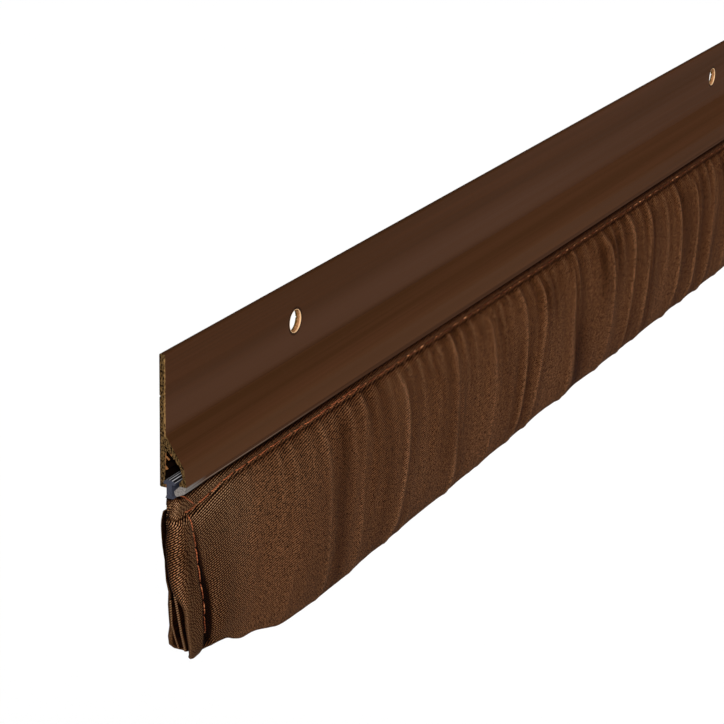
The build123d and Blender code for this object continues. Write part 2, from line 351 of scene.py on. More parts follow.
class Shader:
    """A Principled material whose inputs are worked out by small node calls."""

    def __init__(self, name, roughness, specular):
        self.material = bpy.data.materials.new(name)
        self.material.use_nodes = True
        self.tree = self.material.node_tree
        self.skin = self.tree.nodes["Principled BSDF"]
        self.skin.inputs["Roughness"].default_value = roughness
        self.skin.inputs["Specular IOR Level"].default_value = specular

    def add(self, kind, *inputs, **settings):
        node = self.tree.nodes.new(kind)
        for key, value in settings.items():
            setattr(node, key, value)
        for index, value in enumerate(inputs):
            self.put(node.inputs[index], value)
        return node

    def put(self, socket, value):
        if isinstance(value, bpy.types.NodeSocket):
            self.tree.links.new(value, socket)
        else:
            socket.default_value = value

    def math(self, operation, *values):
        return self.add("ShaderNodeMath", *values, operation=operation).outputs[0]

    def product(self, first, *others):
        for value in others:
            first = self.math("MULTIPLY", first, value)
        return first

    def less(self, first, second):
        return self.math("SUBTRACT", first, second)

    def times_plus(self, value, factor, more):
        return self.math("MULTIPLY_ADD", value, factor, more)

    def dot(self, vector, direction):
        node = self.add("ShaderNodeVectorMath", vector, direction, operation="DOT_PRODUCT")
        return node.outputs["Value"]

    def times(self, vector, factors):
        return self.add("ShaderNodeVectorMath", vector, factors, operation="MULTIPLY").outputs[0]

    def noise(self, vector, scale, detail=2.0, rough=0.5):
        """Noise of 0..1 over vector. Its scale is one number, or one for each axis."""
        if isinstance(scale, tuple):
            vector = self.times(vector, scale)
            scale = 1.0
        node = self.add("ShaderNodeTexNoise")
        self.put(node.inputs["Vector"], vector)
        node.inputs["Scale"].default_value = scale
        node.inputs["Detail"].default_value = detail
        node.inputs["Roughness"].default_value = rough
        return node.outputs[0]

    def spread(self, value, low, high, to_low=0.0, to_high=1.0):
        """value from low..high to to_low..to_high, held at the ends."""
        return self.add("ShaderNodeMapRange", value, low, high, to_low, to_high).outputs[0]

    def by_ends(self, x, least_at, full_at, least=0.0, half=HALF):
        """1 where x is full_at from an end of the piece, down to least at least_at from it."""
        return self.spread(self.math("ABSOLUTE", x), half - least_at, half - full_at, least, 1.0)

    def blend(self, factor, first, second):
        """The first colour at factor 0, the second at factor 1."""
        node = self.tree.nodes.new("ShaderNodeMix")
        node.data_type = "RGBA"
        for key, value in (("Factor_Float", factor), ("A_Color", first), ("B_Color", second)):
            socket = next(s for s in node.inputs if s.identifier == key)
            self.put(socket, value)
        return next(s for s in node.outputs if s.identifier == "Result_Color")

    def place(self):
        """The point on the object, in millimetres."""
        coordinates = self.add("ShaderNodeTexCoord").outputs["Object"]
        return self.times(coordinates, (1000.0, 1000.0, 1000.0))

    def parts_of(self, vector):
        return self.add("ShaderNodeSeparateXYZ", vector).outputs[:3]

    def normal(self):
        return self.parts_of(self.add("ShaderNodeNewGeometry").outputs["Normal"])

    def painted(self, colour, height, strength, distance):
        """The material with this colour, and a bump whose distance is in millimetres."""
        node = self.add("ShaderNodeBump")
        node.inputs["Strength"].default_value = strength
        node.inputs["Distance"].default_value = distance * MM
        self.put(node.inputs["Height"], height)
        self.put(self.skin.inputs["Normal"], node.outputs[0])
        self.put(self.skin.inputs["Base Color"], colour)
        return self.material


def srgb(red, green, blue):
    """A linear colour from 0..255 display values."""
    def linear(value):
        share = value / 255.0
        return share / 12.92 if share <= 0.04045 else ((share + 0.055) / 1.055) ** 2.4
    return (linear(red), linear(green), linear(blue), 1.0)


# Materials

def carrier_material():
    """Brown extruded PVC with fine lines along its length, sawn ends and drilled holes."""
    s = Shader("extruded_brown_pvc", 0.5, 0.006)
    spot = s.place()
    x, y, z = s.parts_of(spot)
    drop = s.less(TOP, z)
    depth = s.product(y, -1.0)
    broad = s.noise(spot, (0.003, 0.3, 0.22), 3.0, 0.6)
    fine = s.noise(spot, (0.006, 3.0, 3.2), 2.0, 0.6)
    dust = s.noise(spot, 0.35, 4.0, 0.7)
    tone = s.times_plus(fine, 0.35, s.product(broad, 0.65))
    face = s.blend(s.spread(tone, 0.36, 0.64), srgb(53, 31, 15), srgb(65, 39, 23))
    face = s.blend(s.spread(dust, 0.6, 0.8, 0.0, 0.1), face, srgb(76, 54, 38))
    # painted light: a lighter band on the plate and a lighter front wall, both as painted reflection,
    # fade away from the ends
    near = s.by_ends(x, 330.0, 180.0, least=0.25)
    band_above = s.spread(drop, 7.0, 13.0)
    band_below = s.spread(drop, SLOPE_TOP - 0.1, SLOPE_TOP - 1.5)
    face = s.blend(s.product(band_above, band_below, near, 0.8), face, srgb(69, 45, 31))
    painted_wall_light = s.spread(drop, SLOPE_FOOT - 1.5, SLOPE_FOOT + 0.5, 0.0, 0.45)
    face = s.blend(s.product(painted_wall_light, near), face, srgb(72, 47, 29))
    # painted shade: the channel's sheltered inner faces are painted near black
    outer = s.times_plus(s.spread(drop, SLOPE_TOP, SLOPE_FOOT), SLOPE_REACH, PLATE)
    under_slope = s.spread(s.less(outer, depth), 0.3, 0.5)
    off_back = s.spread(depth, 0.5, 0.8)
    channel_shade_band = s.spread(drop, 20.8, 21.4)
    face = s.blend(s.product(under_slope, off_back, channel_shade_band, 0.97), face, srgb(6, 3, 2))
    # sawn ends: olive tan with light teeth, a ragged burr on the front edge and a back edge darkened
    # as painted shade
    grain = s.noise(spot, (1.0, 2.6, 1.5), 3.0, 0.75)
    sawn = s.blend(s.spread(grain, 0.45, 0.55), srgb(4, 2, 1), srgb(82, 62, 36))
    tooth = s.product(s.spread(depth, PLATE - 0.2, PLATE), s.math("LESS_THAN", depth, 2 * PLATE))
    teeth = s.product(tooth, s.spread(drop, 22.4, 22.9), 0.8)
    sawn = s.blend(teeth, sawn, srgb(116, 76, 44))
    front_edge = s.spread(depth, PLATE - 0.5, PLATE - 0.2)
    above_slope = s.spread(drop, SLOPE_TOP + 1.0, SLOPE_TOP - 0.5)
    ragged = s.spread(s.noise(spot, (1.0, 2.0, 0.9), 3.0, 0.8), 0.42, 0.56)
    sawn = s.blend(s.product(front_edge, above_slope, ragged), sawn, srgb(122, 92, 56))
    # painted shade on the sawn end's rounded back edge
    sawn = s.blend(s.spread(depth, 0.35, 0.1, 0.0, 0.7), sawn, srgb(40, 22, 8))
    end = s.math("GREATER_THAN", s.math("ABSOLUTE", s.normal()[0]), 0.9)
    # drilled holes: a dark ring of painted shade on the face, tan walls with a pale front rim and a
    # dark back edge
    first = s.math("ADD", x, HOLE_PITCH / 2 - HOLE_FIRST)
    turned = s.less(s.math("FLOORED_MODULO", first, HOLE_PITCH), HOLE_PITCH / 2)
    from_axis = s.math("SQRT", s.times_plus(turned, turned, s.product(z, z)))
    inside = s.math("LESS_THAN", from_axis, HOLE_RADIUS + 0.12)
    ring_shade = s.spread(from_axis, HOLE_RADIUS + 0.9, HOLE_RADIUS + 0.4, 0.0, 0.85)
    chips = s.noise(spot, 1.5, 3.0)
    ragged_depth = s.times_plus(chips, 0.5, s.less(depth, 0.25))
    bore = s.blend(s.spread(chips, 0.35, 0.65), srgb(112, 76, 46), srgb(142, 98, 64))
    bore = s.blend(s.spread(ragged_depth, 0.6, 0.35), bore, srgb(70, 50, 16))
    bore = s.blend(s.spread(ragged_depth, 1.1, 1.3), bore, srgb(198, 160, 120))
    colour = s.blend(end, face, sawn)
    colour = s.blend(ring_shade, colour, srgb(26, 13, 6))
    colour = s.blend(inside, colour, bore)
    s.put(s.skin.inputs["Roughness"], s.spread(fine, 0.3, 0.7, 0.42, 0.58))
    return s.painted(colour, s.times_plus(grain, end, s.product(fine, 0.25)), 0.5, 0.12)


def lip_material():
    """Soft plastic: brown like the carrier on its face, pale grey at its cut ends, and near white
    inside as a painted highlight.
    """
    s = Shader("soft_grey_lip", 0.6, 0.003)
    spot = s.place()
    x, _, z = s.parts_of(spot)
    below_wall = s.less(TOP - CARRIER_FOOT, z)
    fine = s.noise(spot, (0.01, 2.5, 2.5), 2.0, 0.6)
    mottle = s.noise(spot, 1.2, 3.0, 0.6)
    grey = s.blend(s.spread(fine, 0.35, 0.65), srgb(82, 77, 74), srgb(116, 110, 106))
    grey = s.blend(s.spread(mottle, 0.5, 0.8, 0.0, 0.35), grey, srgb(60, 52, 46))
    brown = s.blend(s.spread(fine, 0.35, 0.65), srgb(58, 35, 21), srgb(66, 43, 29))
    # a painted highlight line on the face's foot and a painted shadow on the underside, both fading
    # away from the ends
    line = s.product(s.spread(below_wall, 0.0, 0.2), s.spread(below_wall, 0.5, 0.35))
    line = s.product(line, s.by_ends(x, 75.0, 12.0), 0.9)
    brown = s.blend(line, brown, srgb(112, 96, 84))
    under_shadow = s.product(s.spread(below_wall, 0.45, 0.7), s.by_ends(x, 200.0, 60.0, least=0.5), 0.95)
    brown = s.blend(under_shadow, brown, srgb(12, 6, 3))
    colour = s.blend(s.by_ends(x, 9.0, 2.5), brown, grey)
    # painted highlight: faces turned up and back are painted near white
    _, normal_y, normal_z = s.normal()
    inner = s.math("GREATER_THAN", s.math("ADD", normal_y, normal_z), 0.9)
    colour = s.blend(inner, colour, srgb(226, 226, 228))
    return s.painted(colour, fine, 0.4, 0.06)


def keder_material():
    """Slate blue-grey plastic with drawing lines along its length, and painted light on its head's
    crown.
    """
    s = Shader("slate_keder_plastic", 0.36, 0.1)
    spot = s.place()
    fine = s.noise(spot, (0.01, 3.0, 3.0), 2.0, 0.6)
    mottle = s.noise(spot, 1.6, 3.0, 0.6)
    colour = s.blend(s.spread(fine, 0.35, 0.65), srgb(34, 35, 44), srgb(46, 48, 58))
    colour = s.blend(s.spread(mottle, 0.45, 0.8, 0.0, 0.4), colour, srgb(62, 62, 72))
    # the head's crown is painted dark as shade, with bright lines along it as painted highlights
    painted_crown_light = s.spread(s.normal()[2], 0.55, 0.75)
    drawn = s.spread(s.math("SINE", s.product(s.parts_of(spot)[1], 8.5)), 0.45, 0.85)
    colour = s.blend(painted_crown_light, colour, s.blend(drawn, srgb(16, 15, 18), srgb(168, 166, 168)))
    return s.painted(colour, fine, 0.4, 0.06)


def twill_material():
    """Brown twill: ribs that rise to the right, broken into short floats, with stray fibres."""
    rib_angle = math.radians(12.5)
    rib_pitch = 0.6
    float_length = 0.95
    s = Shader("brown_twill", 0.85, 0.01)
    x = s.parts_of(s.place())[0]
    cloth = s.add("ShaderNodeAttribute", attribute_name="cloth").outputs["Vector"]
    cloth = s.times(cloth, (1000.0, 1000.0, 1000.0))
    painted_shade = s.add("ShaderNodeAttribute", attribute_name="painted_shade").outputs["Fac"]
    across = s.dot(cloth, (-math.sin(rib_angle), -math.cos(rib_angle), 0.0))
    down_rib = s.dot(cloth, (math.cos(rib_angle), -math.sin(rib_angle), 0.0))
    weave = s.add("ShaderNodeCombineXYZ", down_rib, across, 0.0).outputs[0]
    wander = s.noise(cloth, 0.05)
    jitter = s.noise(weave, (0.5, 1.1, 1.0), 2.0, 0.6)
    phase = s.times_plus(across, 2 * math.pi / rib_pitch, s.product(wander, 7.0))
    phase = s.times_plus(jitter, 2.2, phase)
    rib = s.math("POWER", s.spread(s.math("SINE", phase), -1.0, 1.0), 1.7)
    order = s.math("FLOOR", s.times_plus(phase, 0.5 / math.pi, 0.25))
    start = s.add("ShaderNodeTexWhiteNoise", noise_dimensions="1D")
    s.put(start.inputs["W"], order)
    start = s.product(start.outputs[0], 2 * math.pi)
    beat = s.times_plus(down_rib, 2 * math.pi / float_length, start)
    beat = s.times_plus(jitter, 5.0, beat)
    rib = s.product(rib, s.spread(s.math("SINE", beat), -1.0, 0.2, 0.5, 1.0))
    streak = s.spread(s.noise(weave, (0.55, 2.0, 1.0), 1.0, 0.6), 0.3, 0.7)
    grain = s.spread(s.noise(cloth, (1.1, 2.6, 1.0), 2.0, 0.7), 0.3, 0.7)
    fuzz = s.spread(s.noise(cloth, (0.5, 0.8, 1.0), 3.0, 0.85), 0.3, 0.7)
    # the ribs stand out crisply where the end is pressed and sewn, and blur where the cloth is full
    pressed = s.by_ends(x, 34.0, 15.0, half=SLEEVE_HALF)
    tight = s.by_ends(x, 165.0, 105.0, half=SLEEVE_HALF)
    contrast = s.times_plus(pressed, 0.6, s.times_plus(tight, 0.35, 0.55))
    loose = s.times_plus(pressed, -0.4, s.times_plus(tight, 0.15, 0.75))
    tone = s.times_plus(s.less(rib, 0.33), contrast, 0.39)
    for layer, amount in ((grain, loose), (streak, 0.3), (fuzz, 0.42)):
        tone = s.times_plus(s.less(layer, 0.5), amount, tone)
    tone = s.times_plus(pressed, -0.13, s.times_plus(tight, -0.02, tone))
    colour = s.blend(s.spread(tone, 0.0, 1.0), srgb(10, 4, 1), srgb(116, 76, 49))
    # painted highlights on the rib tops, strongest at the pressed ends
    glint = s.times_plus(tight, 0.12, s.product(pressed, 0.88))
    glint = s.product(s.spread(rib, 0.5, 0.95), glint)
    colour = s.blend(glint, colour, srgb(184, 146, 110))
    broad = s.noise(cloth, 0.035, 3.0, 0.6)
    colour = s.blend(s.spread(broad, 0.35, 0.7, 0.0, 0.2), colour, srgb(72, 45, 27))
    specks = s.noise(cloth, (0.9, 2.0, 1.0), 2.0, 0.8)
    colour = s.blend(s.spread(specks, 0.66, 0.74, 0.0, 0.6), colour, srgb(150, 112, 82))
    pits = s.noise(cloth, (0.8, 1.9, 3.0), 2.0, 0.8)
    colour = s.blend(s.spread(pits, 0.66, 0.74, 0.0, 0.8), colour, srgb(12, 4, 1))
    # the painted shade takes green and blue away faster than red
    keep = s.less(1.0, painted_shade)
    fade = s.add(
        "ShaderNodeCombineXYZ", keep, s.math("POWER", keep, 1.22), s.math("POWER", keep, 1.45)
    ).outputs[0]
    height = s.times_plus(grain, 0.4, s.product(rib, 0.6))
    return s.painted(s.times(colour, fade), height, 0.7, 0.12)


def thread_material():
    """Rust orange sewing thread with its ply showing as fine slanting bands."""
    s = Shader("rust_thread", 0.7, 0.03)
    spot = s.place()
    ply = s.spread(s.math("SINE", s.dot(spot, (7.0, 5.0, 9.0))), -1.0, 1.0)
    stain = s.noise(spot, 0.25)
    colour = s.blend(ply, srgb(82, 38, 20), srgb(160, 90, 56))
    colour = s.blend(s.spread(stain, 0.45, 0.7, 0.0, 0.75), colour, srgb(70, 30, 12))
    # painted shade: the thread is darker away from the sewn corners, where it is pulled into the
    # cloth, and low on the end seams
    x, _, z = s.parts_of(spot)
    far_shade = s.by_ends(x, 45.0, 130.0)
    low = s.spread(s.less(TOP, z), 48.0, 62.0, 0.0, 0.8)
    thread_shade = s.math("MAXIMUM", far_shade, s.product(low, s.less(1.0, far_shade)))
    shaded_thread = s.blend(ply, srgb(38, 15, 6), srgb(82, 36, 18))
    flecks = s.spread(s.noise(spot, (0.6, 1.0, 1.0), 2.0, 0.7), 0.56, 0.64)
    shaded_thread = s.blend(flecks, shaded_thread, srgb(176, 118, 78))
    return s.painted(s.blend(thread_shade, colour, shaded_thread), ply, 0.5, 0.05)


def floor_material():
    s = Shader("pale_floor", 0.9, 0.1)
    tone = s.noise(s.place(), 0.002)
    s.put(s.skin.inputs["Base Color"], s.blend(tone, srgb(254, 254, 254), srgb(255, 255, 255)))
    return s.material


# Meshes

def mesh_object(name, points, faces, material, cloth=None, painted_shade=None):
    """A smooth mesh from points in millimetres, given as (x, depth, drop)."""
    points = np.asarray(points, float).reshape(-1, 3)
    world = np.stack([points[:, 0], -points[:, 1], TOP - points[:, 2]], axis=1) * MM
    mesh = bpy.data.meshes.new(name)
    mesh.from_pydata(world.tolist(), [], faces)
    if cloth is not None:
        layer = mesh.attributes.new("cloth", "FLOAT_VECTOR", "POINT")
        layer.data.foreach_set("vector", (np.asarray(cloth, np.float32) * MM).ravel())
    # painted shade per point for the twill: darker where shade falls, lighter where it is below 0
    if painted_shade is not None:
        layer = mesh.attributes.new("painted_shade", "FLOAT", "POINT")
        layer.data.foreach_set("value", np.clip(np.asarray(painted_shade, np.float32), *SHADE_RANGE).ravel())
    mesh.shade_smooth()
    mesh.materials.append(material)
    mesh.update()
    made = bpy.data.objects.new(name, mesh)
    bpy.context.scene.collection.objects.link(made)
    return made


def grid_faces(columns, rows, first=0, flip=False):
    faces = []
    for i in range(columns - 1):
        for j in range(rows - 1):
            a = first + i * rows + j
            face = (a, a + 1, a + rows + 1, a + rows)
            faces.append(face[::-1] if flip else face)
    return faces


def tube_faces(rings, sides, first, flip=False):
    """Faces round a tube of rings that starts at the point first, with a cap on the last ring."""
    faces = []
    for i in range(rings - 1):
        for k in range(sides):
            a = first + i * sides + k
            b = first + i * sides + (k + 1) % sides
            faces.append((a, b, b + sides, a + sides))
    last = first + (rings - 1) * sides
    faces.append(tuple(range(last, last + sides)))
    return [face[::-1] for face in faces] if flip else faces


def bezier(start, first, second, finish, t):
    t = t[None, :]
    start, first, second, finish = (v[:, None] for v in (start, first, second, finish))
    return (
        (1 - t) ** 3 * start + 3 * (1 - t) ** 2 * t * first
        + 3 * (1 - t) * t**2 * second + t**3 * finish
    )


# Sleeve

def all_crests():
    """Crests along the whole sleeve: the seen ones, then more at uneven steps."""
    crests = [(-SLEEVE_HALF, 0.0), (FIRST_CREST, 0.0)] + CRESTS
    while crests[-1][0] < SLEEVE_HALF - 90.0:
        crests.append((crests[-1][0] + dice.uniform(*CREST_STEP), dice.uniform(0.75, 1.0)))
    crests.append((SLEEVE_HALF - 60.0, 0.3))
    crests.append((SLEEVE_HALF, 0.0))
    return np.array(crests)


def small_pleats(step, full_at):
    """Small pleats close together along the sleeve, fading toward both of its ends."""
    pleats = [(-SLEEVE_HALF, 0.0), (-SLEEVE_HALF + 22.0, 0.25)]
    while pleats[-1][0] < SLEEVE_HALF - 34.0:
        place = pleats[-1][0] + dice.uniform(*step)
        inland = min((SLEEVE_HALF - abs(place)) / full_at, 1.0)
        pleats.append((place, inland * dice.uniform(0.35, 1.0)))
    pleats.append((SLEEVE_HALF, 0.0))
    return np.array(pleats)


CREST_TABLE = all_crests()
MINOR_TABLE = small_pleats(MINOR_STEP, 150.0)
PUCKER_TABLE = small_pleats(PUCKER_STEP, 90.0)


def waves(table, x, height_share, ridge):
    """Push in millimetres, the crest line (1 on it), and the painted shade of the valleys between."""
    i = np.clip(np.searchsorted(table[:, 0], x, side="right") - 1, 0, len(table) - 2)
    gap = table[i + 1, 0] - table[i, 0]
    t = np.clip((x - table[i, 0]) / gap, 0.0, 1.0)
    strength = table[i, 1] * (1 - t) + table[i + 1, 1] * t
    valley = np.sqrt(np.sin(np.pi * t) ** 2 + 0.01)
    line = bell(np.minimum(t, 1 - t) * gap, 0.0, RIDGE_WIDTH)
    push = strength * (height_share * np.minimum(gap, WIDEST_GAP) * (0.55 - valley) + ridge * line)
    # the side of a crest that turns from the light is the darker one
    shade = VALLEY_SHADE + 0.2 * bell(t * gap, 3.8, 3.6) + 0.12 * bell((1 - t) * gap, 4.5, 3.5)
    return push, strength * line, strength * shade * (1 - line)


def drawn_in(from_end, end_x):
    """Distance of columns from the middle of the length, drawn up to the fold near an end."""
    t = np.clip(from_end / END_REACH, 0.0, 1.0)
    drawn = end_x + (SLEEVE_HALF - END_REACH - end_x) * t
    return np.where(from_end < END_REACH, drawn, SLEEVE_HALF - from_end)


def sleeve_sections(x):
    """Depth and drop of the sleeve's section rows at the stations x, before its folds."""
    from_end = SLEEVE_HALF - np.abs(x)
    swell = smooth_share(from_end, END_FLAT, END_FLAT + END_SWELL)
    front = END_FRONT + swell * (FRONT_WIDEST - END_FRONT)
    back = END_BACK + swell * (BACK_WIDEST - END_BACK)
    stitch = along(STITCH_LINE, from_end)
    seam = stitch + CUFF
    back_stitch = np.full_like(x, STITCH_LINE[-1][1])
    back_seam = back_stitch + CUFF
    end_bottom = HALF - FRONT_FOLD[-1][1] - FRONT_FOLD_RADIUS[-1][1]
    bottom = along(BOTTOM_LINE, SLEEVE_HALF - drawn_in(from_end, end_bottom))
    middle = np.full_like(x, STEM_MIDDLE)
    hem_front = middle + HEM_HALF
    hem_back = middle - HEM_HALF
    seam_front = hem_front - SEAM_PINCH
    seam_back = hem_back + SEAM_PINCH
    out, down = SEAM_HANDLES
    widest = back_seam + WIDEST_SHARE * (bottom - back_seam)
    upper = 0.5 * (widest - seam)
    back_upper = 0.5 * (widest - back_seam)
    lower = 0.5 * (bottom - widest)
    round_front = middle + BELLY_SHARE * (front - middle)
    round_back = middle + BELLY_SHARE * (back - middle)
    long_t = np.linspace(0, 1, LONG_ROWS + 1)
    short_t = np.linspace(0, 1, SHORT_ROWS + 1)
    band_t = np.linspace(0, 1, BAND_ROWS + 1)[:-1]
    cuff_t = np.linspace(0, 1, CUFF_ROWS + 1)[:-1]
    band = HEM_ROLL * np.sin(np.pi * band_t) - STITCH_DENT * band_t**2
    cuff = 0.5 * HEM_ROLL * np.sin(np.pi * cuff_t) - STITCH_DENT * (1 - cuff_t) ** 2
    bulge = np.concatenate([band, cuff])
    roll_share, roll_down = np.array(ROLL).T
    roll_depth = middle[:, None] + HEM_HALF * roll_share
    roll_drop = np.zeros((len(x), 1)) + HEM_TOP_DROP + roll_down

    def hem_drops(stitch, seam):
        top = HEM_TOP_DROP + HEM_EDGE
        band_drop = top + (stitch - top)[:, None] * band_t
        return np.concatenate([band_drop, stitch[:, None] + (seam - stitch)[:, None] * cuff_t], 1)

    depths = np.concatenate([
        roll_depth,
        hem_front[:, None] + bulge,
        bezier(seam_front, seam_front + out * (front - seam_front), front, front, long_t)[:, :-1],
        bezier(front, front, round_front, middle, long_t)[:, :-1],
        bezier(middle, round_back, back, back, short_t)[:, :-1],
        bezier(back, back, seam_back + out * (back - seam_back), seam_back, short_t),
        (hem_back[:, None] - bulge)[:, ::-1],
        2 * STEM_MIDDLE - roll_depth[:, ::-1],
    ], 1)
    drops = np.concatenate([
        roll_drop,
        hem_drops(stitch, seam),
        bezier(seam, seam + down * upper, widest - upper, widest, long_t)[:, :-1],
        bezier(widest, widest + lower, bottom, bottom, long_t)[:, :-1],
        bezier(bottom, bottom, widest + lower, widest, short_t)[:, :-1],
        bezier(widest, widest - back_upper, back_seam + down * back_upper, back_seam, short_t),
        hem_drops(back_stitch, back_seam)[:, ::-1],
        roll_drop[:, ::-1],
    ], 1)
    # the flat hemmed end has a squarer section than the swelling middle
    at_end = np.where(FRONT_ROWS, along(FRONT_AT_END, drops), along(BACK_AT_END, drops))
    seams = np.where(FRONT_ROWS, seam[:, None], back_seam[:, None])
    share = (1 - swell)[:, None] * smooth_share(drops - seams, 0.0, 1.2)
    share = share * smooth_share(drops - bottom[:, None], -0.1, -1.8)
    return depths + (at_end - depths) * share, drops, seams, bottom


def sleeve_stations():
    """Columns along the sleeve, close together on the crests and at the ends."""
    fine = np.arange(END_REACH - SLEEVE_HALF, SLEEVE_HALF - END_REACH, FINE_STEP)
    away = np.abs(fine[:, None] - CREST_TABLE[None, :, 0]).min(axis=1)
    spacing = CREST_SPACING + (VALLEY_SPACING - CREST_SPACING) * smooth_share(away, 3.0, 6.0)
    count = np.concatenate([[0.0], np.cumsum(FINE_STEP / spacing[:-1])])
    middle = np.interp(np.arange(0.0, count[-1], 1.0), count, fine)
    near = np.arange(0.0, END_REACH, END_STEP)
    return np.concatenate([near - SLEEVE_HALF, middle, SLEEVE_HALF - near[::-1]])


def outward(depths, drops):
    """Unit normals of the section rows, pointing out of the sleeve."""
    along_depth = np.gradient(depths, axis=1)
    along_drop = np.gradient(drops, axis=1)
    size = np.hypot(along_depth, along_drop) + 1e-9
    return along_drop / size, -along_depth / size


def end_fold(drops):
    """Where each row folds in at the sleeve's end, and the radius of that fold."""
    inset = np.where(FRONT_ROWS, along(FRONT_FOLD, drops), along(BACK_FOLD, drops))
    radius = np.where(FRONT_ROWS, along(FRONT_FOLD_RADIUS, drops), along(BACK_FOLD_RADIUS, drops))
    return inset, radius


def gathers(x, drops, below, share, from_end):
    """Push of the gathers in millimetres, and their painted shade. share is 0 at the seam, 1 at the
    bottom.
    """
    free = smooth_share(below, 0.0, 6.0)
    calm = 1 - (1 - BOTTOM_SHARE) * smooth_share(share, 0.8, 0.97)
    still = smooth_share(from_end, 10.0, 30.0) * (1 - 0.85 * smooth_share(share, 0.84, 0.96))
    lean = np.where(FRONT_ROWS, FRONT_LEAN, BACK_LEAN) * np.clip(share, 0, 1)
    lean = lean + 0.8 * ripple(x, drops, *LEAN_RIPPLE) + 1.9 * ripple(x, drops, *SWAY_RIPPLE)
    bend = lean + 1.6 * ripple(x, drops, *BEND_RIPPLE)
    big_push, big_line, big_shade = waves(CREST_TABLE, x + lean, CREST_SHARE, RIDGE_HEIGHT)
    minor_push, minor_line, minor_shade = waves(
        MINOR_TABLE, x + 1.3 * bend, MINOR_SHARE, MINOR_RIDGE
    )
    # crests swell and fade on their way down, and lesser ones come and go between them
    lively = np.clip(0.8 + 0.38 * ripple(x, drops, *STRENGTH_RIPPLE), 0.15, 1.3)
    comes = np.clip(0.1 + 0.8 * ripple(x, drops, *MINOR_RIPPLE), 0.0, 1.0)
    push = (big_push * (0.45 + 0.55 * lively) + minor_push * comes) * free * calm
    painted_shade = (big_shade - 0.42 * big_line * calm) * lively * free
    painted_shade += (0.7 * minor_shade - 0.22 * minor_line) * comes * free
    for place, shade in VALLEYS:
        painted_shade += shade * bell(x + lean, place, VALLEY_WIDTH) * free

    # puckers start at the seam and run out at uneven lengths below it
    drift = 0.05 * below * ripple(x, 0.0, *PUCKER_RIPPLE)
    small_push, small_line, small_shade = waves(
        PUCKER_TABLE, x - drift, PUCKER_SHARE, PUCKER_RIDGE
    )
    reach_down = PUCKER_FALL * np.clip(1.0 + 0.6 * ripple(x, 0.0, *FALL_RIPPLE), 0.35, 2.0)
    pleat = smooth_share(below, -0.3, 1.0) * np.exp(-np.maximum(below, 0.0) / reach_down)
    push += small_push * pleat
    painted_shade += (1.2 * small_shade - 0.25 * small_line) * pleat

    # the cloth between is never quite flat
    for height, wave in SLACK:
        push += height * ripple(x, drops, *wave) * free * still
    height, wave = HEM_SLACK
    push += height * ripple(x, drops, *wave) * (drops > HEM_TOP_DROP + 0.15) * still
    return push, painted_shade


def shelter(drops, below, from_end):
    """Painted shade of the hem under the lip, of the groove at its stitches and of the plain panel's
    foot.
    """
    reach = smooth_share(from_end, 110.0, 50.0)
    hem = 0.22 - 0.12 * smooth_share(from_end, 260.0, 130.0) - 0.03 * reach
    shade = hem * smooth_share(below, 0.0, -0.6)
    shade += (0.4 + 0.25 * reach) * smooth_share(drops - HEM_TOP_DROP, 1.1, 0.6)
    shade += 0.15 * smooth_share(from_end, 11.0, 5.0) * smooth_share(below, 0.5, -0.5)
    shade += 0.6 * bell(below, 0.0, 0.5) + 0.2 * np.exp(-np.maximum(below, 0.0) / 1.8)
    foot = smooth_share(drops, 38.0, 60.0) * smooth_share(from_end, 150.0, 60.0)
    return shade + 0.12 * foot * smooth_share(below, 0.0, 6.0)


def end_seam_relief(distance, drops, below, share):
    """Push and painted shade by the stitched end: the strip stands proud, and the panel dips beside
    it.
    """
    aside = HALF - distance - along(END_SEAM, drops)
    inside = smooth_share(share, 0.0, 0.06) * smooth_share(share, 1.0, 0.95)
    valley = along(SEAM_VALLEY, drops)
    hidden = 2.0 * valley
    push = -valley * smooth_share(aside, 0.2, 1.3) * smooth_share(aside, 11.0, 2.2)
    push += STRIP_RAISE * smooth_share(aside, 0.6, -0.8) - 0.25 * bell(aside, 0.0, 0.6)
    shadow = smooth_share(aside, 0.1, 0.7) * smooth_share(aside, 2.4 + 1.2 * hidden, 0.5 + hidden)
    painted_shade = along(SEAM_SHADE, drops) * shadow * FRONT_ROWS
    painted_shade += 0.45 * smooth_share(aside, 0.5, -1.0)
    painted_shade += 0.2 * bell(aside, -3.3, 0.8) * smooth_share(drops, 60.0, 52.0)
    beside = smooth_share(aside, 0.0, 2.0) * smooth_share(aside, 26.0, 5.0)
    return push * inside, painted_shade * inside + 0.42 * beside * smooth_share(below, 0.0, 6.0)


def turned_in(edge, inward, radius, painted_shade, sign):
    """Columns and painted shades past an end's edge: a half turn inward, then a way back inside."""
    outside = np.array([sign, 0.0, 0.0])
    columns = []
    shades = []
    for degrees in np.linspace(0, 180, TURN_COLUMNS + 1)[1:]:
        away = radius * (1 - math.cos(math.radians(degrees)))
        ahead = radius * math.sin(math.radians(degrees))
        columns.append(edge + away[:, None] * inward + ahead[:, None] * outside)
        # painted shade deepens into the fold, and a painted highlight lies on the front rows' rim
        deep = np.where(
            FRONT_ROWS, smooth_share(degrees, 90.0, 150.0), smooth_share(degrees, 140.0, 178.0)
        )
        rim_light = 0.3 * bell(degrees, 62.0, 16.0) * FRONT_ROWS
        shades.append(painted_shade - rim_light + (0.93 - painted_shade) * deep)
    for inner in np.linspace(0, TURN_IN, INNER_COLUMNS + 1)[1:]:
        columns.append(edge + 2 * radius[:, None] * inward - inner * outside)
        shades.append(np.full(ROWS, INSIDE_SHADE))
    return columns, shades


